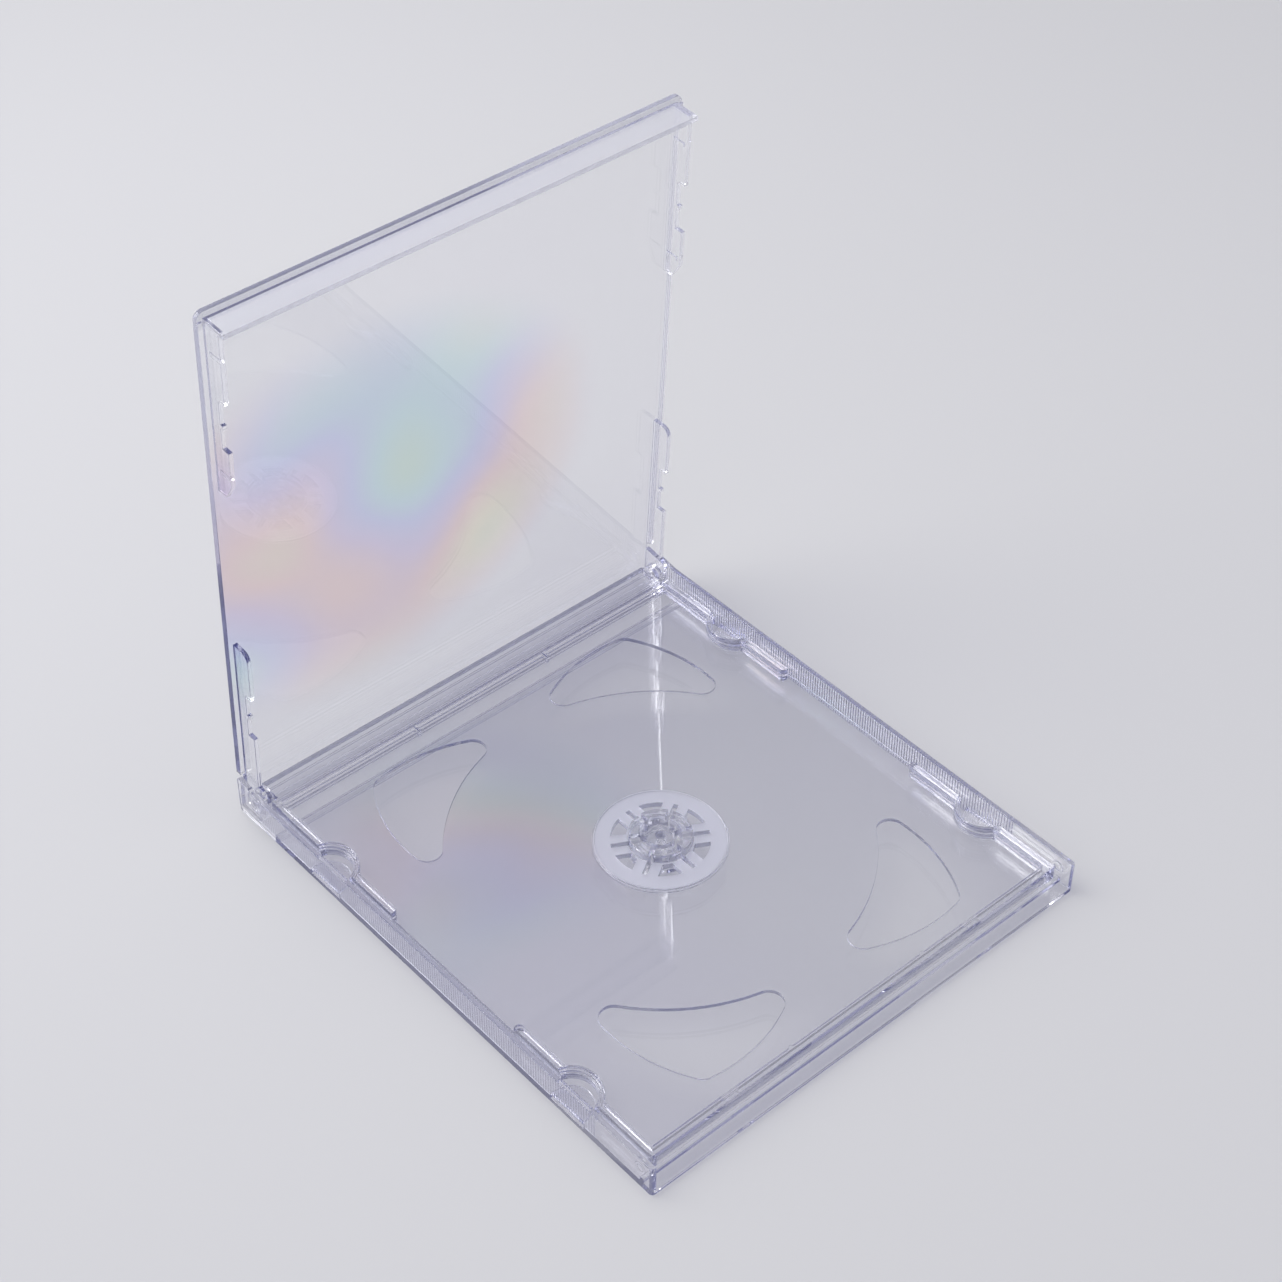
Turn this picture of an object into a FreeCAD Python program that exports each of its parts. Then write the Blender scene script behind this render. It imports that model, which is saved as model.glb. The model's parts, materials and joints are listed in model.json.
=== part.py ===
import FreeCAD, Part
import math, os

# Two-disc jewel case, clear, standing open. Millimetres, +Z up.
# Every piece is drawn in the case frame: hinge end at x = 0, opening edge at x = LENGTH,
# the width along y, the table at z = 0 and the shut case THICK tall. The back cover is
# drawn shut and then turned open about the hinge line. The exported origin is the middle
# of the front cover's outline, on the table.

V = FreeCAD.Vector

LENGTH = 142.0        # hinge end to opening edge
WIDTH = 125.0         # over the side walls
THICK = 10.4          # the shut case
SKIN = 1.2            # plate and wall thickness
OPEN_SHOWN = 86.7     # opening of the back cover as photographed, degrees

PIVOT_X = 5.2         # hinge line, from the hinge end
PIVOT_Z = THICK / 2
NUB_R = 1.6           # pivot nubs and pins
FIT = 0.05            # radial running clearance in the ears
SIDE_GAP = 0.3        # between neighbouring side walls

WALL_H = 8.6          # front cover side walls
ARM_END = 9.8         # the hinge arms slope down to the wall height here
PLATE_START = 13.4    # hinge-side edge of the front plate
RIDGE_INSET = 4.1     # booklet ridge of the front cover, from the opening edge
RIDGE_W = 1.1
RIDGE_H = 1.2
STOP_INSET = 27.0     # booklet stops on the ridge, from the sides
STOP_R = 2.2

HUB_SHIFT = 0.6       # middle of the disc seat, past the middle of the tray panel
TAB_INSET = 22.8      # half-moon tabs, from the ends of the disc seat
TAB_R = 5.0
TAB_Z = 2.4
TAB_T = 0.7
DIMPLE_INSET = 4.0    # small ring inside the front side walls, from the opening edge
DIMPLE_R = 1.5
DIMPLE_T = 0.15

BACK_X0 = 0.2         # outer face of the back cover's hinge-side wall
BACK_DEPTH = 8.0      # depth of both end walls, from the outer face
END_INSET = 2.7       # inner face of the opening-edge wall, from the edge
EAR_T = 1.1           # thickness of the tall side walls
RIM_DROP = 0.5        # low rim under the plate's side edges
SEG_DEPTH = 6.3       # depth of the tall side wall segments
SEG_PAST = 19.7       # hinge-side segment ends this far past its tab
SEG_BEFORE = 19.1     # opening-side segment starts this far before its tab
SNAP_BEFORE = 13.6    # snaps of the opening-side segment, from its tab
SNAP_INSET = 7.0      # and from the opening-edge wall
DIP_DEPTH = 4.2       # depth of the side walls above a half-moon tab
DIP_HALF = 6.1
BOSS_R = 3.0          # pivot bosses of the back cover

LEAF_Z = 0.5          # half thickness of the tray panel
RIM_Z = 2.0           # half height of the tray rims
LEAF_SIDE = 0.5       # tray to the back cover's side walls
LEAF_END = 0.7        # tray to the opening-edge wall
LEAF_X0 = 8.8         # hinge-side edge of the panel
BAR_X0 = 2.2
PIN_LONG = 1.8        # the bar's pins
RIM_W = 1.8
RIM_PAST = 20.7       # the side rims stop this far inside the tabs
NOTCH_R = 5.6         # half-round notches round the tabs, with stepped collars
COLLAR_STEP = 0.45
TICK_Y = 19.4         # small ribs and nubs across the tray's end rims

PAD_R = 15.4          # hub pad
WINDOW_R = (7.9, 11.3)
TOOTH_R = (4.9, 7.3)
TOOTH_Z = 2.9         # half height of the disc teeth
SLOT_W = 1.1
SPOKE = 3.0           # window sides, from the middle of the next slot
CORE_R = 3.2
CORE_HOLE = 1.2

FINGER_ANGLE = 34.0   # finger openings, from the hub towards the corners
FINGER_DEPTH = 18.9   # inner arc to far end
FINGER_GAP = 8.3      # far end to the tray's end
FINGER_PAST = 8.2     # far end, seen from the hub, past the tray's side
FINGER_TIP = 3.3
FINGER_TIP_Y = 16.5
FINGER_FAR_R = 3.2
FINGER_SIDE_R = 39.0

HALF = WIDTH / 2
MID = THICK / 2
INNER = HALF - SKIN               # inner face of the front side walls
EAR_OUT = INNER - SIDE_GAP        # outer face of the back cover side walls
EAR_IN = EAR_OUT - EAR_T
LEAF_Y = EAR_IN - LEAF_SIDE
BAR_Y = LEAF_Y - RIM_W             # the hinge bar ends flush with the rims' inner faces
BOSS_Y = BAR_Y + SIDE_GAP         # inner face of the pivot bosses
RIDGE_X = LENGTH - RIDGE_INSET
BACK_END_X = LENGTH - END_INSET
LEAF_X1 = BACK_END_X - LEAF_END
HUB_X = (LEAF_X0 + LEAF_X1) / 2 + HUB_SHIFT
SEAT_REACH = LEAF_X1 - HUB_X
NEAR_TAB = HUB_X - SEAT_REACH + TAB_INSET
FAR_TAB = HUB_X + SEAT_REACH - TAB_INSET
SEG_IN = NEAR_TAB + SEG_PAST
SEG_OUT = FAR_TAB - SEG_BEFORE
RIM_ENDS = (NEAR_TAB + RIM_PAST, FAR_TAB - RIM_PAST)
FINGER_FAR = min((SEAT_REACH - FINGER_GAP) / math.cos(math.radians(FINGER_ANGLE)),
                 LEAF_Y + FINGER_PAST)
FINGER_IN = FINGER_FAR - FINGER_DEPTH


def box(x0, x1, y0, y1, z0, z1):
    return Part.makeBox(x1 - x0, y1 - y0, z1 - z0, V(x0, y0, z0))


def disc(x, y, z0, z1, r, start=0.0, sweep=360.0):
    d = Part.makeCylinder(r, z1 - z0, V(0, 0, 0), V(0, 0, 1), sweep)
    d.rotate(V(0, 0, 0), V(0, 0, 1), start)
    d.translate(V(x, y, z0))
    return d


def rod(y0, y1, r):
    """A cylinder along the hinge line."""
    return Part.makeCylinder(r, y1 - y0, V(PIVOT_X, y0, PIVOT_Z), V(0, 1, 0))


def mirrored(shape):
    return shape.mirror(V(0, 0, 0), V(0, 1, 0))


def both_sides(shape):
    return [shape, mirrored(shape)]


def side_plate(points, y0, y1):
    """An x-z outline pulled from y0 to y1."""
    pts = [V(x, y0, z) for x, z in points]
    face = Part.Face(Part.makePolygon(pts + pts[:1]))
    return face.extrude(V(0, y1 - y0, 0))


def round_edges(shape, radius, test):
    edges = [e for e in shape.Edges if test(e)]
    return shape.makeFillet(radius, edges) if edges else shape


def upright_at(x, y):
    def test(e):
        b = e.BoundBox
        return (b.XLength < 1e-4 and b.YLength < 1e-4 and
                abs(b.XMin - x) < 1e-3 and abs(abs(b.YMin) - y) < 1e-3)
    return test


def along_y_at(x, z):
    def test(e):
        b = e.BoundBox
        return (b.XLength < 1e-4 and b.ZLength < 1e-4 and
                abs(b.XMin - x) < 1e-3 and abs(b.ZMin - z) < 1e-3)
    return test


def fused(parts):
    return parts[0].multiFuse(parts[1:]).removeSplitter()


def tab_places():
    return [NEAR_TAB, FAR_TAB]


def front_cover():
    plate = box(PLATE_START, LENGTH, -HALF, HALF, 0, SKIN)
    wall = side_plate([(0, 0), (LENGTH, 0), (LENGTH, WALL_H), (ARM_END, WALL_H), (0, THICK)],
                      INNER, HALF)
    wall = round_edges(wall, 0.8, along_y_at(0, 0))
    wall = round_edges(wall, 0.8, along_y_at(0, THICK))
    parts = [plate] + both_sides(wall)
    parts.append(box(PLATE_START, PLATE_START + 2.0, -INNER, INNER, SKIN, SKIN + 0.6))
    ridge_top = SKIN + RIDGE_H
    parts.append(box(RIDGE_X, RIDGE_X + RIDGE_W, -INNER, INNER, SKIN, ridge_top))
    parts += both_sides(disc(RIDGE_X, HALF - STOP_INSET, SKIN, ridge_top, STOP_R, 90, 180))
    parts += both_sides(rod(EAR_IN - 0.2, INNER, NUB_R))
    for x in tab_places():
        parts += both_sides(disc(x, INNER, TAB_Z, TAB_Z + TAB_T, TAB_R, 180, 180))
    spot = V(LENGTH - DIMPLE_INSET, INNER - DIMPLE_T, MID)
    dimple = Part.makeCylinder(DIMPLE_R, DIMPLE_T, spot, V(0, 1, 0))
    dimple = dimple.cut(Part.makeCylinder(0.6 * DIMPLE_R, DIMPLE_T, spot, V(0, 1, 0)))
    parts += both_sides(dimple)
    cover = fused(parts)
    for x in tab_places():
        window = box(x - TAB_R - 0.2, x + TAB_R + 0.2, INNER - 0.5, HALF + 1, SKIN, TAB_Z)
        for w in both_sides(window):
            cover = cover.cut(w)
    return round_edges(cover, 1.0, upright_at(LENGTH, HALF))


def side_segments():
    """The tall side walls of the back cover on one side, drawn shut."""
    top = THICK - SKIN
    low = THICK - SEG_DEPTH
    dip = THICK - DIP_DEPTH
    near, far = tab_places()
    step = 0.8

    def dipped(x, a, b):
        return [(x - DIP_HALF, a), (x - DIP_HALF, dip), (x - step, dip), (x - step, dip - step),
                (x + step / 4, dip - step), (x + step / 4, dip), (x + DIP_HALF, dip),
                (x + DIP_HALF, b)]

    hinge = [(BACK_X0, top), (BACK_X0, THICK - BACK_DEPTH), (9.5, THICK - BACK_DEPTH), (11.2, low)]
    hinge += dipped(near, low, low) + [(SEG_IN, low), (SEG_IN, top)]
    lower = side_plate(hinge, EAR_IN, EAR_OUT)
    lower = round_edges(lower, 2.4, along_y_at(SEG_IN, low))
    far_end = [(SEG_OUT, top), (SEG_OUT, THICK - 4.0), (SEG_OUT + 4.0, low)]
    far_end += dipped(far, low, low) + [(BACK_END_X + 0.5, low), (BACK_END_X + 0.5, top)]
    upper = side_plate(far_end, EAR_IN, EAR_OUT)
    snaps = [box(x - 0.5, x + 0.5, EAR_IN - 0.3, EAR_IN, low + 0.8, low + 4.2)
             for x in (far - SNAP_BEFORE, BACK_END_X - SNAP_INSET)]
    boss = rod(BOSS_Y, EAR_IN, BOSS_R)
    return fused([lower, upper, boss] + snaps)


def back_cover():
    top = THICK - SKIN
    plate = box(PLATE_START - 1.2, LENGTH, -HALF, HALF, top, THICK)
    plate = round_edges(plate, 2.0, upright_at(LENGTH, HALF))
    neck = box(BACK_X0, PLATE_START, -EAR_OUT, EAR_OUT, top, THICK)
    low = THICK - BACK_DEPTH
    hinge_wall = box(BACK_X0, BACK_X0 + SKIN, -EAR_OUT, EAR_OUT, low, top)
    end_wall = box(BACK_END_X, BACK_END_X + SKIN, -EAR_OUT, EAR_OUT, low, top)
    rim = box(PLATE_START - 1.2, LENGTH - 2.0, INNER, HALF, top - RIM_DROP, top)
    parts = [plate, neck, hinge_wall, end_wall] + both_sides(rim) + both_sides(side_segments())
    cover = fused(parts)
    corner = box(BACK_X0 - 1, BACK_X0 + 2, -EAR_OUT - 1, EAR_OUT + 1, low - 1, low + 2)
    corner = corner.cut(Part.makeCylinder(2.0, 2 * EAR_OUT + 2, V(BACK_X0 + 2, -EAR_OUT - 1, low + 2),
                                          V(0, 1, 0)))
    cover = cover.cut(corner)
    cover = cover.cut(rod(-HALF, HALF, NUB_R + FIT))
    cover.rotate(V(PIVOT_X, 0, PIVOT_Z), V(0, -1, 0), OPEN_SHOWN)
    return cover


def meet(c1, d1, c2, d2):
    """The point at distance d1 from c1 and d2 from c2, on the hub side."""
    dx, dy = c2[0] - c1[0], c2[1] - c1[1]
    d = math.hypot(dx, dy)
    a = (d1 * d1 - d2 * d2 + d * d) / (2 * d)
    h = math.sqrt(d1 * d1 - a * a)
    px, py = c1[0] + a * dx / d, c1[1] + a * dy / d
    return min([(px - h * dy / d, py + h * dx / d), (px + h * dy / d, py - h * dx / d)])


def toward(c, p, r):
    d = math.hypot(p[0] - c[0], p[1] - c[1])
    return (c[0] + r * (p[0] - c[0]) / d, c[1] + r * (p[1] - c[1]) / d)


def arc(c, r, p, q):
    """The shorter arc round c from p to q."""
    m = toward(c, ((p[0] + q[0]) / 2, (p[1] + q[1]) / 2), r)
    a, b, m = (V(t[0], t[1], 0) for t in (p, q, m))
    return Part.Arc(a, m, b).toShape()


def finger_opening():
    """One finger opening about its own middle line, on the hub centre."""
    hub = (0.0, 0.0)
    tip = (math.sqrt((FINGER_IN + FINGER_TIP) ** 2 - FINGER_TIP_Y ** 2), FINGER_TIP_Y)
    far = (FINGER_FAR - FINGER_FAR_R, 0.0)
    side = meet(tip, FINGER_SIDE_R - FINGER_TIP, far, FINGER_SIDE_R - FINGER_FAR_R)
    a = toward(hub, tip, FINGER_IN)
    b = toward(side, tip, FINGER_SIDE_R)
    c = toward(side, far, FINGER_SIDE_R)

    def low(p):
        return (p[0], -p[1])

    edges = [arc(tip, FINGER_TIP, a, b), arc(side, FINGER_SIDE_R, b, c)]
    edges += [arc(far, FINGER_FAR_R, c, low(c)), arc(low(side), FINGER_SIDE_R, low(c), low(b))]
    edges += [arc(low(tip), FINGER_TIP, low(b), low(a)), arc(hub, FINGER_IN, low(a), a)]
    face = Part.Face(Part.Wire(edges))
    return face.extrude(V(0, 0, 4))


def finger_openings():
    out = []
    for base in (0, 180):
        for sign in (1, -1):
            hole = finger_opening()
            hole.rotate(V(0, 0, 0), V(0, 0, 1), base + sign * FINGER_ANGLE)
            hole.translate(V(HUB_X, 0, MID - 2))
            out.append(hole)
    return out


def spoke_box(angle, width, r0, r1, half_z):
    b = box(r0, r1, -width / 2, width / 2, MID - half_z, MID + half_z)
    b.rotate(V(0, 0, 0), V(0, 0, 1), angle)
    b.translate(V(HUB_X, 0, 0))
    return b


def ring(r0, r1, half_z):
    a = disc(HUB_X, 0, MID - half_z, MID + half_z, r1)
    return a.cut(disc(HUB_X, 0, MID - half_z, MID + half_z, r0))


def hub_add():
    edge = ring(PAD_R - 0.6, PAD_R, LEAF_Z + 0.45)
    pad = disc(HUB_X, 0, MID - LEAF_Z - 0.25, MID + LEAF_Z + 0.25, PAD_R - 0.3)
    return [pad, edge, ring(TOOTH_R[0], TOOTH_R[1], TOOTH_Z)]


def hub_cut():
    """Windows, slots and the gap round the core."""
    tall = TOOTH_Z + 1
    windows = ring(WINDOW_R[0], WINDOW_R[1], tall)
    gap = disc(HUB_X, 0, MID - tall, MID + tall, TOOTH_R[0])
    cuts = []
    for k in range(6):
        windows = windows.cut(spoke_box(60 * k, 2 * SPOKE, 0, 14, tall + 1))
        cuts.append(spoke_box(60 * k, SLOT_W, CORE_R, WINDOW_R[1], tall))
    return cuts + [windows, gap]


def hub_core():
    core = disc(HUB_X, 0, MID - RIM_Z, MID + RIM_Z, CORE_R)
    arms = [spoke_box(90 + 120 * k, 1.2, CORE_R - 0.4, TOOTH_R[0] + 0.6, 1.0) for k in range(3)]
    core = fused([core] + arms)
    return core.cut(disc(HUB_X, 0, MID - RIM_Z - 1, MID + RIM_Z + 1, CORE_HOLE))


def collar(x, y):
    """Stepped half-round collar round a half-moon tab."""
    steps = [(NOTCH_R + COLLAR_STEP * 3, RIM_Z), (NOTCH_R + COLLAR_STEP * 2, RIM_Z - 0.6),
             (NOTCH_R + COLLAR_STEP, RIM_Z - 1.1)]
    out = None
    for k, (r, half_z) in enumerate(steps):
        piece = disc(x, y, MID - half_z, MID + half_z, r)
        inner = steps[k + 1][0] if k + 1 < len(steps) else NOTCH_R
        piece = piece.cut(disc(x, y, MID - half_z, MID + half_z, inner))
        out = piece if out is None else out.fuse(piece)
    return out.common(box(x - 9, x + 9, 0, LEAF_Y, 0, THICK))


def disc_tray():
    z0, z1 = MID - RIM_Z, MID + RIM_Z
    leaf = box(LEAF_X0, LEAF_X1, -LEAF_Y, LEAF_Y, MID - LEAF_Z, MID + LEAF_Z)
    bar = box(BAR_X0, LEAF_X0 + 1.2, -BAR_Y, BAR_Y, z0, z1)
    bar = round_edges(bar, 0.8, along_y_at(BAR_X0, z0))
    bar = round_edges(bar, 0.8, along_y_at(BAR_X0, z1))
    for x in (BAR_X0 + 1.4, LEAF_X0 - 1.4):
        for z in (z0, z1 - 0.35):
            bar = bar.cut(box(x, x + 0.6, -BAR_Y, BAR_Y, z, z + 0.35))
    step = box(LEAF_X0, LEAF_X0 + 3.0, -LEAF_Y, LEAF_Y, MID - 1.0, MID + 1.0)
    parts = [leaf, bar, step]
    parts.append(box(LEAF_X1 - 2.0, LEAF_X1, -LEAF_Y, LEAF_Y, z0, z1))
    rims = [box(LEAF_X0, RIM_ENDS[0], LEAF_Y - RIM_W, LEAF_Y, z0, z1),
            box(RIM_ENDS[1], LEAF_X1, LEAF_Y - RIM_W, LEAF_Y, z0, z1)]
    rims = [round_edges(r, 1.2, upright_at(x, LEAF_Y - RIM_W)) for r, x in zip(rims, RIM_ENDS)]
    for r in rims:
        for x in tab_places():
            r = r.cut(disc(x, INNER, z0, z1, NOTCH_R + COLLAR_STEP * 2))
        parts += both_sides(r)
    for x in tab_places():
        parts += both_sides(collar(x, INNER))
    for y in (-TICK_Y, TICK_Y):
        parts.append(box(LEAF_X0 + 1, LEAF_X0 + 3.0, y - 0.4, y + 0.4, MID - 1.4, MID + 1.4))
    for y in (-TICK_Y, TICK_Y):
        parts.append(disc(LEAF_X1 - 2.0, y, MID, MID + 1.6, 0.6))
    parts += both_sides(rod(BAR_Y, BAR_Y + PIN_LONG, NUB_R))
    tray = fused(parts + hub_add())
    cuts = finger_openings() + hub_cut()
    for x in tab_places():
        cuts += both_sides(disc(x, INNER, 0, THICK, NOTCH_R))
    for c in cuts:
        tray = tray.cut(c)
    return tray.fuse(hub_core()).removeSplitter()


def one_solid(shape):
    if len(shape.Solids) != 1:
        raise RuntimeError("a piece has %d solids" % len(shape.Solids))
    return shape.Solids[0]


def main():
    os.makedirs("parts", exist_ok=True)
    pieces = {"front_cover": front_cover(), "disc_tray": disc_tray(), "back_cover": back_cover()}
    for name, shape in pieces.items():
        piece = one_solid(shape)
        piece.translate(V(-LENGTH / 2, 0, 0))
        piece.exportStep("parts/%s.step" % name)
        b = piece.BoundBox
        print(name, "%.2f %.2f %.2f  %.2f %.2f %.2f" % (b.XMin, b.YMin, b.ZMin, b.XMax, b.YMax, b.ZMax),
              "volume %.0f" % piece.Volume, "valid", piece.isValid())


main()
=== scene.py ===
"""Looks of the clear two-disc case that stands open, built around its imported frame."""

import json
import math

import bmesh
import bpy
from bpy.props import FloatProperty, FloatVectorProperty, IntProperty, PointerProperty
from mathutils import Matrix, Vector


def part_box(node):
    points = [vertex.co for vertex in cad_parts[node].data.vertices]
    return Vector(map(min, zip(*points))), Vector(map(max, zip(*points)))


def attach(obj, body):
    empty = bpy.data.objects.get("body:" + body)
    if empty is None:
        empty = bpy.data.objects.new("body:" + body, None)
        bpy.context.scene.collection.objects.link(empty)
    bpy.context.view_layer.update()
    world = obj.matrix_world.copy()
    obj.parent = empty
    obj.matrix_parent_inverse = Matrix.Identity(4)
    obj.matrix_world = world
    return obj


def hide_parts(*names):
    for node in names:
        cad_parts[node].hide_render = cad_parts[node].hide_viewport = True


bl_info = {
    "name": "Clear Disc Case",
    "version": (1, 0, 0),
    "blender": (4, 5, 0),
    "location": "3D View > Sidebar > Disc Case",
    "description": "Clear styrene mouldings of a two-disc case, with a pale studio floor",
    "category": "Object",
}

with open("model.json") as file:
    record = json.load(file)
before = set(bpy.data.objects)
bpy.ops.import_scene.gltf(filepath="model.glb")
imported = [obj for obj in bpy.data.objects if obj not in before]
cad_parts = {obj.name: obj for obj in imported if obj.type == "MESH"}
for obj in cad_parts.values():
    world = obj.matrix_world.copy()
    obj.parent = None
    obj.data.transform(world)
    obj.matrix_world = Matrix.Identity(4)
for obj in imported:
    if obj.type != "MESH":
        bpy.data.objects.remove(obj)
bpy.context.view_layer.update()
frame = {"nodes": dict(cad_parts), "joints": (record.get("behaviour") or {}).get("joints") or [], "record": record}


def named(rows, name):
    """The row of this name in one of the frame's lists."""
    return next(row for row in rows if row["name"] == name)


# Places on the case at rest, worked out from the frame
MM = 0.001
WALL = 1.2 * MM                                 # thickness of the side walls
FRONT_LOW, FRONT_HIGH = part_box("front_cover")
WALL_FACE = FRONT_HIGH[1] - WALL                # inner faces of the side walls, either side of y 0
RIBS_FROM = FRONT_LOW[0] + 8 * MM
RIBS_TO = FRONT_HIGH[0] - 18 * MM
PANEL_LEVEL = named(frame["joints"], "tray_flip")["pos_m"][2]       # middle of the tray's panel
HUB = named(frame["record"]["mounts"], "disc_hub")
HUB_X = HUB["pos_m"][0]
HUB_R = HUB["dims"]["r_mm"] * MM
COVER_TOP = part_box("back_cover")[1][2]          # top of the standing back cover

# Masks on the pieces: each pair of values is where the mask is 0 and where it is 1
PAD_INSIDE = (HUB_R, HUB_R + 0.3 * MM)          # distance from the hub's middle
PAD_OUTSIDE = (15.2 * MM, 15.0 * MM)
PAD_LEVEL = (0.6, 0.8)                          # how level a face is, from 0 upright to 1 level
CUT_UPRIGHT = (0.5, 0.3)
CUT_NEAR_PANEL = (1.0 * MM, 0.95 * MM)          # height above or below the panel's middle
EDGE_WALL = (COVER_TOP - 3.87 * MM, COVER_TOP - 3.57 * MM)      # height on the back cover
SMUDGED = (0.52, 0.66)                          # value of the flow noise
TINTED = (0.35, 0.7)
SHEEN_FADE = (1.6, 0.7)                           # squared distance in the patch, plus the flow noise, where the painted stress sheen fades

# Fine ribs on the side walls
RIB_FOOT = 1.35 * MM                            # height at which a rib starts
RIB_HEIGHT = 7.1 * MM
RIB_ROOT = 0.02 * MM                            # how far a rib goes into its wall
RIB_TAPER = 0.45                                # width of a rib's crest over the width of its foot
RIB_TURN = math.pi                              # turns a rib's narrow side away from the wall at +y

# Finish of the meshes
MERGE_WITHIN = 0.002 * MM                       # corners this close become one
FLAT_WITHIN = math.radians(0.5)                 # faces that turn less than this become one
ROUNDED_PAST = math.radians(35)                 # edges that turn further than this are rounded
SHARP_PAST = math.radians(50)                   # and past this they are shaded sharp
AREA_WEIGHT = 100                               # large faces keep their own normals

# Looks of the plastic
TINT = (0.985, 0.98, 1.0)                       # dims the surface colour where the plastic is tinted
PAD_SHARE = 0.9                                 # how far the hub's pad is matt
STREAKS = (0.25, 0.65)                          # how far the edge wall is matt, from streak to streak
EDGE_SHADE_SHARE = 0.9                                 # how far an opening's edge is painted in the darker edge colour, a painted shade
CUT_MILK = 0.35                                 # how far such an edge scatters light
SHADE_FACE = (0.98, 0.98, 0.985)                # colour of lamplight that crosses a face squarely
SHADE_EDGE = (0.41, 0.415, 0.50)                # colour of lamplight that crosses a face edge on
SHADE_POWER = 2.5                               # how close to edge on the shade stays
# The stress rainbow is a painted sheen: the colours that moulding stress shows in polarised reflected light, laid
# into the surface colour
RAINBOW_TURNS = 5.0                             # rounds of the rainbow over the flow noise
RAINBOW = [(0.0, (0.55, 0.30, 0.75)), (0.18, (0.25, 0.35, 0.95)), (0.36, (0.2, 0.75, 0.75)),
           (0.52, (0.35, 0.8, 0.3)), (0.68, (0.9, 0.75, 0.25)), (0.84, (0.95, 0.4, 0.3)),
           (1.0, (0.55, 0.30, 0.75))]
TRAY_PATCH = {"Y": (-27 * MM, 36 * MM), "X": (-22 * MM, 40 * MM)}       # axis: middle and reach
COVER_PATCH = {"Y": (-24 * MM, 62 * MM), "Z": (72 * MM, 50 * MM)}
TRAY_SHEEN = 0.35                              # strength of the painted stress sheen in each patch
COVER_SHEEN = 1.0

# Studio, in metres and degrees
FLOOR_HALF = 1.5
FLOOR_LEVEL = -0.2 * MM                         # just below the case
FLOOR_ROUGHNESS = 0.85
FLOOR_FADES = (0.3, 1.0)                        # distances over which the floor turns into the backdrop
MAIN_LAMP = {"place": (-0.45, -0.15, 0.75), "target": (0, 0, 0.03), "size": (0.6, 0.6)}
FILL_LAMP = {"place": (0.55, 0.45, 0.45), "target": (0, 0, 0.05), "size": (0.35, 0.5)}
BRIGHT_SIDE = Vector((-0.60, -0.62, 0.50)).normalized()     # direction in which the room is brightest
ROOM_RAMP = [(0.35, (0.34, 0.34, 0.39)), (0.9, (0.9, 0.9, 0.96))]       # from dim side to bright side
SOFTBOX_RIM = (0.89, 0.97)                      # how squarely a direction meets the bright side
HORIZON = (0.45, 0.15)                          # lower directions show the backdrop in the plastic
CAMERA_PLACE = (0.29801, -0.26846, 0.42786)
CAMERA_TURN = (47.73715, -0.32549, 48.63972)
SENSOR = 36                                     # millimetres
CAMERA_REACH = (0.01, 50)                       # nearest and farthest distance that it shows


class StyreneSettings(bpy.types.PropertyGroup):
    """Colour and clarity of the plastic."""
    surface: FloatVectorProperty(
        name="Surface Colour", description="Colour of light that crosses a face",
        subtype="COLOR", size=3, min=0, max=1, default=(0.983, 0.984, 0.990))
    depth: FloatVectorProperty(
        name="Edge Colour", description="Colour of light that runs along inside the plastic",
        subtype="COLOR", size=3, min=0, max=1, default=(0.69, 0.70, 0.88))
    density: FloatProperty(
        name="Edge Density", description="How soon the edge colour gathers, per metre",
        default=22.0, min=0, max=500)
    trapped: FloatProperty(
        name="Trapped Light", description="Turns after which light caught in the plastic leaves it",
        default=7.5, min=1, max=60)
    glow: FloatVectorProperty(
        name="Glow Colour", description="Colour of the light that was caught in the plastic",
        subtype="COLOR", size=3, min=0, max=1, default=(0.80, 0.805, 0.885))
    ior: FloatProperty(
        name="Refractive Index", description="Bending of light in styrene",
        default=1.59, min=1, max=3)
    haze: FloatProperty(
        name="Haze", description="Roughness of the faint smudges on the polished faces",
        subtype="FACTOR", default=0.03, min=0, max=1)
    # Painted shade: a darker colour on the openings' edges, standing for the dark lines that clear plastic shows
    # there
    cut: FloatVectorProperty(
        name="Cut Edge Colour", description="Colour of the thin edges of the openings",
        subtype="COLOR", size=3, min=0, max=1, default=(0.54, 0.548, 0.66))
    frosted: FloatVectorProperty(
        name="Frosted Colour", description="Colour of light that crosses a matt face",
        subtype="COLOR", size=3, min=0, max=1, default=(0.76, 0.765, 0.84))
    frost: FloatProperty(
        name="Frost", description="Roughness of the faces that the mould left matt",
        subtype="FACTOR", default=0.36, min=0, max=1)
    milk: FloatProperty(
        name="Milkiness", description="How far a matt face scatters light instead of passing it",
        subtype="FACTOR", default=0.26, min=0, max=1)
    # Painted sheen: the stress rainbow, which real plastic shows only in polarised reflected light, goes into the
    # surface colour
    stress_sheen: FloatProperty(
        name="Stress Colours", description="Strength of the rainbow that moulding stress leaves",
        subtype="FACTOR", default=0.30, min=0, max=1)


class MouldingSettings(bpy.types.PropertyGroup):
    """Edges of the mouldings and the ribs on the side walls."""
    edge_radius: FloatProperty(
        name="Edge Radius", description="Rounding of the mouldings' sharp edges",
        subtype="DISTANCE", unit="LENGTH", default=0.12 * MM, min=0, max=0.3 * MM)
    edge_steps: IntProperty(
        name="Edge Steps", description="Faces across a rounded edge", default=2, min=1, max=6)
    rib_pitch: FloatProperty(
        name="Rib Pitch", description="Distance between the side walls' fine ribs",
        subtype="DISTANCE", unit="LENGTH", default=0.8 * MM, min=0.3 * MM, max=5 * MM)
    rib_width: FloatProperty(
        name="Rib Width", description="Width of one fine rib",
        subtype="DISTANCE", unit="LENGTH", default=0.36 * MM, min=0.05 * MM, max=2 * MM)
    rib_depth: FloatProperty(
        name="Rib Depth", description="Height of a rib above the wall",
        subtype="DISTANCE", unit="LENGTH", default=0.14 * MM, min=0.02 * MM, max=0.25 * MM)


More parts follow.
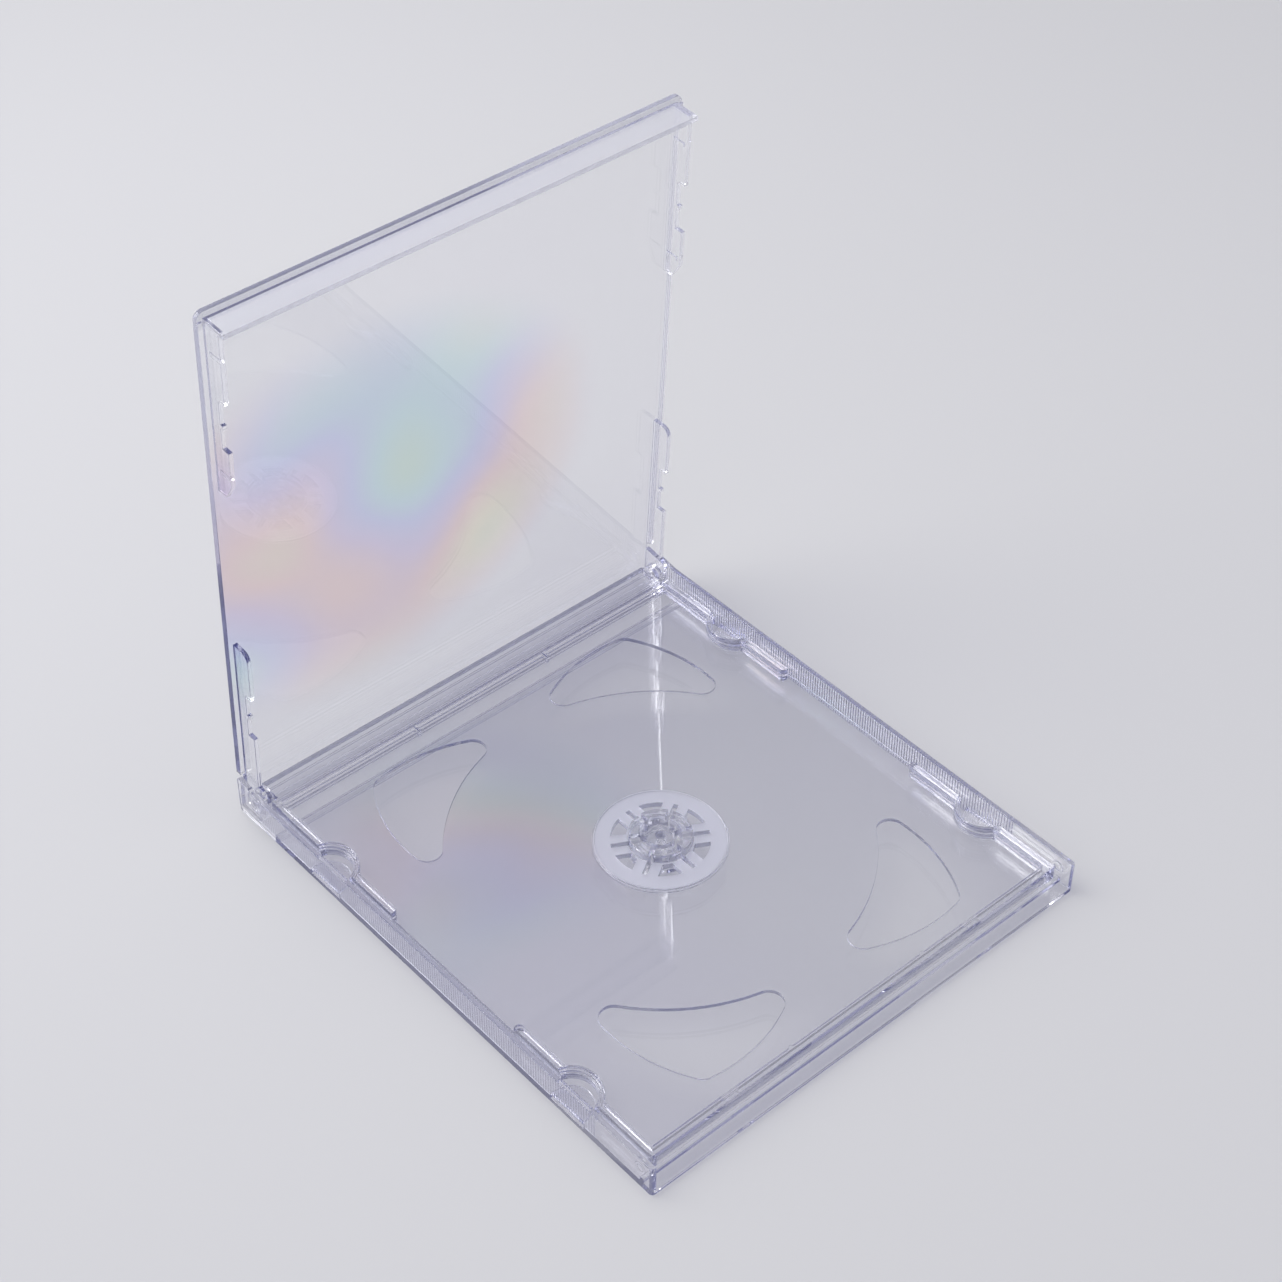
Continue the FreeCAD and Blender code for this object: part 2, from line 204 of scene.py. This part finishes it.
class StudioSettings(bpy.types.PropertyGroup):
    """Floor, lamps and camera."""
    floor: FloatVectorProperty(
        name="Floor Colour", description="Colour of the floor",
        subtype="COLOR", size=3, min=0, max=1, default=(0.52, 0.52, 0.535))
    backdrop: FloatVectorProperty(
        name="Backdrop Colour", description="What the camera sees past the floor",
        subtype="COLOR", size=3, min=0, max=1, default=(0.60, 0.60, 0.62))
    room: FloatProperty(
        name="Room Light", description="Strength of the soft light all round",
        default=0.70, min=0, max=4)
    softbox: FloatProperty(
        name="Soft Box", description="Strength of the bright patch of the room that shines in the edges",
        default=5.5, min=0, max=20)
    lamp: FloatProperty(
        name="Main Lamp", description="Power of the large lamp overhead",
        subtype="POWER", unit="POWER", default=4.8, min=0, max=200)
    fill: FloatProperty(
        name="Fill Lamp", description="Power of the lamp opposite",
        subtype="POWER", unit="POWER", default=0.8, min=0, max=200)
    lens: FloatProperty(
        name="Lens", description="Focal length in millimetres on a 36 mm sensor",
        default=72.70, min=10, max=300)


def opaque(colour):
    """A colour as a node's socket takes it."""
    return (*colour, 1)


class Nodes:
    """Shorthand for building one node tree."""

    def __init__(self, tree):
        self.tree = tree
        tree.nodes.clear()

    def node(self, kind, inputs=(), **values):
        n = self.tree.nodes.new(kind)
        for key, value in values.items():
            setattr(n, key, value)
        for key, value in dict(inputs).items():
            self.feed(n.inputs[key], value)
        return n

    def feed(self, socket, value):
        if isinstance(value, bpy.types.NodeSocket):
            self.tree.links.new(value, socket)
        else:
            socket.default_value = value

    def math(self, operation, a, b=0.0, clamp=False):
        return self.node("ShaderNodeMath", {0: a, 1: b}, operation=operation, use_clamp=clamp).outputs[0]

    def distance(self, x, y):
        """Length of the way to a place, from its two steps at right angles."""
        return self.math("SQRT", self.math("ADD", self.math("MULTIPLY", x, x), self.math("MULTIPLY", y, y)))

    def axis(self, name, vector):
        return self.node("ShaderNodeSeparateXYZ", {0: vector}).outputs[name]

    def ease(self, value, zero_at, full_at, full=1.0):
        """0 at one value and full at the other, whichever is the larger, smooth in between."""
        return self.node("ShaderNodeMapRange", {
            "Value": value, "From Min": zero_at, "From Max": full_at, "To Max": full},
            interpolation_type="SMOOTHSTEP").outputs[0]

    def mix(self, factor, a, b):
        return self.node("ShaderNodeMix", {0: factor, 2: a, 3: b}, data_type="FLOAT").outputs[0]

    def mix_colour(self, factor, a, b, blend="MIX"):
        n = self.node("ShaderNodeMix", {0: factor, 6: a, 7: b}, data_type="RGBA", blend_type=blend)
        return n.outputs[2]

    def mix_shader(self, factor, a, b):
        return self.node("ShaderNodeMixShader", {0: factor, 1: a, 2: b}).outputs[0]

    def ramp(self, value, stops):
        n = self.node("ShaderNodeValToRGB", {0: value})
        elements = n.color_ramp.elements
        while len(elements) < len(stops):
            elements.new(0.5)
        for element, (at, colour) in zip(elements, stops):
            element.position = at
            element.color = opaque(colour)
        return n.outputs[0]


class Shader(Nodes):
    """One material's nodes, which read places and directions in the object's own axes."""

    def __init__(self, name):
        self.material = bpy.data.materials.new(name)
        self.material.use_nodes = True
        super().__init__(self.material.node_tree)
        where = self.node("ShaderNodeTexCoord").outputs
        self.place, self.facing = where["Object"], where["Normal"]

    def at(self, name):
        """The place on the object along one axis."""
        return self.axis(name, self.place)

    def levelness(self):
        """0 on an upright face and 1 on a level one."""
        return self.math("ABSOLUTE", self.axis("Z", self.facing))

    def noise(self, scale, detail, roughness=0.5, stretch=(1, 1, 1)):
        place = self.node("ShaderNodeMapping", {"Vector": self.place, "Scale": stretch}).outputs[0]
        n = self.node("ShaderNodeTexNoise", {
            "Vector": place, "Scale": scale, "Detail": detail, "Roughness": roughness})
        return n.outputs["Fac"]


def stress_sheen_colours(s, flow, patch, strength):
    """The rainbow of moulding stress in an oval patch, painted into the surface colour as a sheen of polarised
    reflected light: how strong it is, and its colours.
    """
    rainbow = s.ramp(s.math("FRACT", s.math("MULTIPLY", flow, RAINBOW_TURNS)), RAINBOW)
    steps = [s.math("DIVIDE", s.math("SUBTRACT", s.at(axis), middle), reach)
             for axis, (middle, reach) in patch.items()]
    away = s.distance(*steps)
    inside = s.ease(s.math("ADD", s.math("MULTIPLY", away, away), flow), *SHEEN_FADE)
    return s.math("MULTIPLY", inside, strength), rainbow


def clear_styrene(name, look, frost=None, stress=None, cut=None):
    """Clear moulded plastic: polished faces with faint smudges and a violet cast that gathers along
    the edges. It is matt where frost says so, shows the stress colours of its patch as a painted
    sheen, and has painted shade, a deeper colour, where its edge mask says so."""
    s = Shader(name)
    flow = s.noise(scale=9.0, detail=2.0, roughness=0.45)
    roughness = s.math("MULTIPLY", s.ease(flow, *SMUDGED), look.haze)
    tinted = [channel * share for channel, share in zip(look.surface, TINT)]
    colour = s.mix_colour(s.ease(flow, *TINTED), opaque(look.surface), opaque(tinted))
    milk = None
    # Painted sheen: the stress rainbow multiplied into the surface colour
    if stress is not None:
        strength, rainbow = stress_sheen_colours(s, flow, *stress)
        strength = s.math("MULTIPLY", strength, look.stress_sheen)
        colour = s.mix_colour(strength, colour, rainbow, "MULTIPLY")
    if frost is not None:
        matt = frost(s)
        roughness = s.mix(matt, roughness, look.frost)
        colour = s.mix_colour(matt, colour, opaque(look.frosted))
        milk = s.math("MULTIPLY", matt, look.milk)
    # Painted shade: the openings' edges take the darker edge colour, and scatter some light
    if cut is not None:
        edge = cut(s)
        colour = s.mix_colour(edge, colour, opaque(look.cut))
        edge_milk = s.math("MULTIPLY", edge, CUT_MILK)
        milk = edge_milk if milk is None else s.math("MAXIMUM", milk, edge_milk)
    body = s.node("ShaderNodeBsdfPrincipled", {
        "IOR": look.ior, "Base Color": colour, "Roughness": roughness, "Transmission Weight": 1.0})
    if milk is not None:
        s.feed(body.inputs["Transmission Weight"], s.math("SUBTRACT", 1.0, milk))

    # Lamplight and scattered light pass straight through. So does light that has turned too often
    # inside, in the glow colour, because an edge would be black where its path was cut off.
    ray = s.node("ShaderNodeLightPath").outputs
    soft = s.math("ADD", ray["Is Shadow Ray"], ray["Is Diffuse Ray"], clamp=True)
    trapped = s.math("GREATER_THAN", ray["Ray Depth"], look.trapped)
    edge_on = s.node("ShaderNodeLayerWeight", {"Blend": 0.5}).outputs["Facing"]
    shade = s.mix_colour(s.math("POWER", edge_on, SHADE_POWER), opaque(SHADE_FACE), opaque(SHADE_EDGE))
    through = s.node("ShaderNodeBsdfTransparent", {
        "Color": s.mix_colour(trapped, shade, opaque(look.glow))})
    surface = s.mix_shader(s.math("MAXIMUM", soft, trapped), body.outputs[0], through.outputs[0])
    inside = s.node("ShaderNodeVolumeAbsorption", {"Color": opaque(look.depth), "Density": look.density})
    s.node("ShaderNodeOutputMaterial", {"Surface": surface, "Volume": inside.outputs[0]})
    return s.material


def after_modifier(mesh, kind, setting):
    """A plain mesh: the given one as one modifier leaves it."""
    rough = bpy.data.objects.new("rough", mesh)
    bpy.context.scene.collection.objects.link(rough)
    setting(rough.modifiers.new("step", kind))
    ready = bpy.context.evaluated_depsgraph_get()
    made = bpy.data.meshes.new_from_object(rough.evaluated_get(ready), depsgraph=ready)
    bpy.data.objects.remove(rough)
    return made


def dressed(mesh, name, body, material, stands_for=()):
    """A finished piece from a mesh: smooth where it curves, in its material, on its body."""
    mesh.polygons.foreach_set("use_smooth", [True] * len(mesh.polygons))
    mesh.set_sharp_from_angle(angle=SHARP_PAST)

    def flat_faces_lead(weighing):
        weighing.mode = "FACE_AREA"
        weighing.weight = AREA_WEIGHT
        weighing.keep_sharp = True

    mesh = after_modifier(mesh, "WEIGHTED_NORMAL", flat_faces_lead)
    mesh.name = name
    mesh.materials.clear()
    mesh.materials.append(material)
    piece = bpy.data.objects.new(name, mesh)
    bpy.context.scene.collection.objects.link(piece)
    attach(piece, body)
    if stands_for:
        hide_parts(*stands_for)


def moulding(node, name, body, material, settings):
    """A merged copy of a moulding with its sharp edges rounded, which stands for the moulding."""
    mesh = frame["nodes"][node].data.copy()
    shape = bmesh.new()
    shape.from_mesh(mesh)
    bmesh.ops.remove_doubles(shape, verts=shape.verts, dist=MERGE_WITHIN)
    bmesh.ops.dissolve_limit(shape, angle_limit=FLAT_WITHIN, verts=shape.verts, edges=shape.edges)
    shape.to_mesh(mesh)
    shape.free()

    def rounding(bevel):
        bevel.width = settings.edge_radius
        bevel.segments = settings.edge_steps
        bevel.limit_method = "ANGLE"
        bevel.angle_limit = ROUNDED_PAST
        bevel.use_clamp_overlap = False
        bevel.miter_outer = "MITER_SHARP"

    dressed(after_modifier(mesh, "BEVEL", rounding), name, body, material, [node])


def rib_tree(sizes):
    """Geometry nodes that stand a row of fine upright ribs along +x on both walls at once. It also
    gives the identifier of each named input."""
    t = Nodes(bpy.data.node_groups.new("wall_ribs", "GeometryNodeTree"))
    t.tree.is_modifier = True
    sockets = t.tree.interface
    sockets.new_socket("Geometry", in_out="OUTPUT", socket_type="NodeSocketGeometry")
    inputs = {}
    for name, size in sizes.items():
        socket = sockets.new_socket(name, in_out="INPUT", socket_type="NodeSocketFloat")
        socket.default_value = size
        inputs[name] = socket.identifier
    plastic = sockets.new_socket("Plastic", in_out="INPUT", socket_type="NodeSocketMaterial")
    inputs["Plastic"] = plastic.identifier

    def vector(x=0.0, y=0.0, z=0.0):
        return t.node("ShaderNodeCombineXYZ", {0: x, 1: y, 2: z}).outputs[0]

    given = t.node("NodeGroupInput").outputs
    profile = t.node("GeometryNodeCurvePrimitiveQuadrilateral", {
        "Height": t.math("ADD", given["Depth"], given["Root"]), "Bottom Width": given["Width"],
        "Top Width": t.math("MULTIPLY", given["Width"], RIB_TAPER), "Offset": 0.0}, mode="TRAPEZOID")
    crown = t.math("ADD", given["Foot"], given["Height"])
    spine = t.node("GeometryNodeCurvePrimitiveLine", {
        "Start": vector(z=given["Foot"]), "End": vector(z=crown)})
    rib = t.node("GeometryNodeCurveToMesh", {
        "Curve": spine.outputs[0], "Profile Curve": profile.outputs[0], "Fill Caps": True})
    middle = t.math("DIVIDE", t.math("SUBTRACT", given["Depth"], given["Root"]), 2.0)
    pitches = t.math("FLOOR", t.math("DIVIDE", given["Run"], given["Pitch"]))
    joined = t.node("GeometryNodeJoinGeometry")
    for side, turn in ((1.0, RIB_TURN), (-1.0, RIB_TURN + math.pi)):
        face = t.math("MULTIPLY", t.math("SUBTRACT", given["Wall"], middle), side)
        row = t.node("GeometryNodeMeshLine", {
            "Count": t.math("ADD", pitches, 1.0), "Start Location": vector(x=given["Start"], y=face),
            "Offset": vector(x=given["Pitch"])}, mode="OFFSET")
        placed = t.node("GeometryNodeInstanceOnPoints", {
            "Points": row.outputs[0], "Instance": rib.outputs[0], "Rotation": (0.0, 0.0, turn)})
        t.feed(joined.inputs[0], placed.outputs[0])
    solid = t.node("GeometryNodeRealizeInstances", {0: joined.outputs[0]})
    clear = t.node("GeometryNodeSetMaterial", {"Geometry": solid.outputs[0], "Material": given["Plastic"]})
    t.node("NodeGroupOutput", {0: clear.outputs[0]})
    return t.tree, inputs


class CASE_OT_front_cover(bpy.types.Operator):
    """Dress the front cover that lies on the floor"""
    bl_idname = "disc_case.front_cover"
    bl_label = "Front Cover"

    def execute(self, context):
        scene = context.scene
        material = clear_styrene("front_cover_styrene", scene.case_styrene)
        moulding("front_cover", "front_cover_moulding", "front_cover", material, scene.case_moulding)
        return {"FINISHED"}


class CASE_OT_wall_ribs(bpy.types.Operator):
    """Stand the fine ribs on the inner faces of the front cover's side walls"""
    bl_idname = "disc_case.wall_ribs"
    bl_label = "Wall Ribs"

    def execute(self, context):
        scene = context.scene
        look = scene.case_moulding
        material = clear_styrene("wall_rib_styrene", scene.case_styrene)
        sizes = {"Start": RIBS_FROM, "Run": RIBS_TO - RIBS_FROM, "Pitch": look.rib_pitch,
                 "Width": look.rib_width, "Depth": look.rib_depth, "Foot": RIB_FOOT,
                 "Height": RIB_HEIGHT, "Wall": WALL_FACE, "Root": RIB_ROOT}
        tree, inputs = rib_tree(sizes)

        def row_of_ribs(row):
            row.node_group = tree
            for name, value in {**sizes, "Plastic": material}.items():
                row[inputs[name]] = value

        ribs = after_modifier(bpy.data.meshes.new("wall_ribs"), "NODES", row_of_ribs)
        if not ribs.polygons:
            raise RuntimeError("the row of ribs came out empty")
        dressed(ribs, "wall_ribs", "front_cover", material)
        return {"FINISHED"}


def hub_pad(s):
    """The level faces round the hub's teeth, which are matt."""
    away = s.distance(s.math("SUBTRACT", s.at("X"), HUB_X), s.at("Y"))
    ring = s.math("MULTIPLY", s.ease(away, *PAD_OUTSIDE), s.ease(away, *PAD_INSIDE))
    level = s.ease(s.levelness(), *PAD_LEVEL)
    return s.math("MULTIPLY", s.math("MULTIPLY", ring, level), PAD_SHARE)


def shaded_opening_edges(s):
    """The upright edges of the tray's panel, which outline its openings and are painted in a darker edge colour, a
    painted shade.
    """
    upright = s.ease(s.levelness(), *CUT_UPRIGHT)
    height = s.math("ABSOLUTE", s.math("SUBTRACT", s.at("Z"), PANEL_LEVEL))
    return s.math("MULTIPLY", s.math("MULTIPLY", upright, s.ease(height, *CUT_NEAR_PANEL)), EDGE_SHADE_SHARE)


class CASE_OT_disc_tray(bpy.types.Operator):
    """Dress the disc tray with its matt hub"""
    bl_idname = "disc_case.disc_tray"
    bl_label = "Disc Tray"

    def execute(self, context):
        scene = context.scene
        material = clear_styrene("disc_tray_styrene", scene.case_styrene, frost=hub_pad,
                                 stress=(TRAY_PATCH, TRAY_SHEEN), cut=shaded_opening_edges)
        moulding("disc_tray", "disc_tray_moulding", "disc_tray", material, scene.case_moulding)
        return {"FINISHED"}


def edge_wall(s):
    """The back cover's wall along its opening edge, which is matt in streaks along y."""
    streaks = s.mix(s.noise(scale=600.0, detail=1.0, stretch=(1, 0.03, 1)), *STREAKS)
    return s.math("MULTIPLY", s.ease(s.at("Z"), *EDGE_WALL), streaks)


class CASE_OT_back_cover(bpy.types.Operator):
    """Dress the standing back cover, with its matt edge wall and its stress colours painted in as a sheen"""
    bl_idname = "disc_case.back_cover"
    bl_label = "Back Cover"

    def execute(self, context):
        scene = context.scene
        material = clear_styrene("back_cover_styrene", scene.case_styrene, frost=edge_wall,
                                 stress=(COVER_PATCH, COVER_SHEEN))
        moulding("back_cover", "back_cover_moulding", "back_cover", material, scene.case_moulding)
        return {"FINISHED"}


def studio_floor(look):
    """A pale floor that turns into the backdrop with distance, so that it has no visible edge."""
    mesh = bpy.data.meshes.new("studio_floor")
    corners = [(x * FLOOR_HALF, y * FLOOR_HALF, FLOOR_LEVEL) for x, y in ((-1, -1), (1, -1), (1, 1), (-1, 1))]
    mesh.from_pydata(corners, [], [(0, 1, 2, 3)])
    floor = bpy.data.objects.new("studio_floor", mesh)
    bpy.context.scene.collection.objects.link(floor)
    s = Shader("studio_floor_paper")
    paper = s.node("ShaderNodeBsdfPrincipled", {
        "Roughness": FLOOR_ROUGHNESS, "Base Color": opaque(look.floor)})
    far = s.node("ShaderNodeEmission", {"Color": opaque(look.backdrop)})
    fading = s.ease(s.distance(s.at("X"), s.at("Y")), *FLOOR_FADES)
    s.node("ShaderNodeOutputMaterial", {
        "Surface": s.mix_shader(fading, paper.outputs[0], far.outputs[0])})
    mesh.materials.append(s.material)


def studio_room(look):
    """Soft light, brightest from the left, so that the plastic's edges shine, and plain to the camera."""
    world = bpy.data.worlds.new("studio_room")
    world.use_nodes = True
    w = Nodes(world.node_tree)
    sky = w.node("ShaderNodeTexCoord").outputs["Generated"]
    toward = w.node("ShaderNodeVectorMath", {0: sky, 1: BRIGHT_SIDE}, operation="DOT_PRODUCT")
    squarely = toward.outputs["Value"]
    around = w.node("ShaderNodeBackground", {
        "Color": w.ramp(w.ease(squarely, -1.0, 1.0), ROOM_RAMP), "Strength": look.room})
    softbox = w.node("ShaderNodeBackground", {"Strength": w.ease(squarely, *SOFTBOX_RIM, look.softbox)})
    lights = w.node("ShaderNodeAddShader", {0: around.outputs[0], 1: softbox.outputs[0]})
    behind = w.node("ShaderNodeBackground", {"Color": opaque(look.backdrop)})
    ray = w.node("ShaderNodeLightPath").outputs
    low = w.ease(w.axis("Z", sky), *HORIZON)
    seen_through = w.math("MULTIPLY", ray["Is Transmission Ray"], low)
    seen = w.math("ADD", ray["Is Camera Ray"], seen_through, clamp=True)
    w.node("ShaderNodeOutputWorld", {"Surface": w.mix_shader(seen, lights.outputs[0], behind.outputs[0])})
    return world


def area_lamp(name, power, place, target, size):
    """A soft lamp. It has no image in the plastic, where the room shines instead."""
    data = bpy.data.lights.new(name, "AREA")
    data.shape = "RECTANGLE"
    data.size, data.size_y = size
    data.energy = power
    lamp = bpy.data.objects.new(name, data)
    bpy.context.scene.collection.objects.link(lamp)
    lamp.visible_glossy = False
    lamp.visible_transmission = False
    lamp.location = place
    lamp.rotation_mode = "QUATERNION"
    lamp.rotation_quaternion = (Vector(target) - Vector(place)).to_track_quat("-Z", "Y")


def photo_camera(look):
    """A camera at the photograph's angle."""
    data = bpy.data.cameras.new("photo_camera")
    data.lens = look.lens
    data.sensor_width = SENSOR
    data.clip_start, data.clip_end = CAMERA_REACH
    camera = bpy.data.objects.new("photo_camera", data)
    bpy.context.scene.collection.objects.link(camera)
    camera.location = CAMERA_PLACE
    camera.rotation_euler = [math.radians(turn) for turn in CAMERA_TURN]
    return camera


class CASE_OT_stage(bpy.types.Operator):
    """Make the pale floor, the soft lamps and the camera"""
    bl_idname = "disc_case.stage"
    bl_label = "Studio"

    def execute(self, context):
        scene = context.scene
        look = scene.case_studio
        studio_floor(look)
        scene.world = studio_room(look)
        area_lamp("main_lamp", look.lamp, **MAIN_LAMP)
        area_lamp("fill_lamp", look.fill, **FILL_LAMP)
        scene.camera = photo_camera(look)
        scene.view_settings.view_transform = "Standard"
        scene.cycles.max_bounces = 14
        scene.cycles.transmission_bounces = 14
        scene.cycles.glossy_bounces = 12
        scene.cycles.transparent_max_bounces = 40
        return {"FINISHED"}


class CASE_PT_panel(bpy.types.Panel):
    """Operators and settings of the disc case"""
    bl_idname = "CASE_PT_panel"
    bl_label = "Disc Case"
    bl_space_type = "VIEW_3D"
    bl_region_type = "UI"
    bl_category = "Disc Case"

    def draw(self, context):
        column = self.layout.column(align=True)
        for operator in OPERATORS:
            column.operator(operator.bl_idname)
        for group in (context.scene.case_styrene, context.scene.case_moulding, context.scene.case_studio):
            box = self.layout.box()
            for key in group.bl_rna.properties.keys():
                if key not in ("rna_type", "name"):
                    box.prop(group, key)


OPERATORS = (CASE_OT_front_cover, CASE_OT_wall_ribs, CASE_OT_disc_tray, CASE_OT_back_cover, CASE_OT_stage)
CLASSES = (StyreneSettings, MouldingSettings, StudioSettings, *OPERATORS, CASE_PT_panel)


def register():
    for cls in CLASSES:
        bpy.utils.register_class(cls)
    bpy.types.Scene.case_styrene = PointerProperty(type=StyreneSettings)
    bpy.types.Scene.case_moulding = PointerProperty(type=MouldingSettings)
    bpy.types.Scene.case_studio = PointerProperty(type=StudioSettings)


def unregister():
    del bpy.types.Scene.case_studio, bpy.types.Scene.case_moulding, bpy.types.Scene.case_styrene
    for cls in reversed(CLASSES):
        bpy.utils.unregister_class(cls)


def main():
    register()
    bpy.ops.disc_case.front_cover()
    bpy.ops.disc_case.wall_ribs()
    bpy.ops.disc_case.disc_tray()
    bpy.ops.disc_case.back_cover()
    bpy.ops.disc_case.stage()


if __name__ == "__main__":
    main()
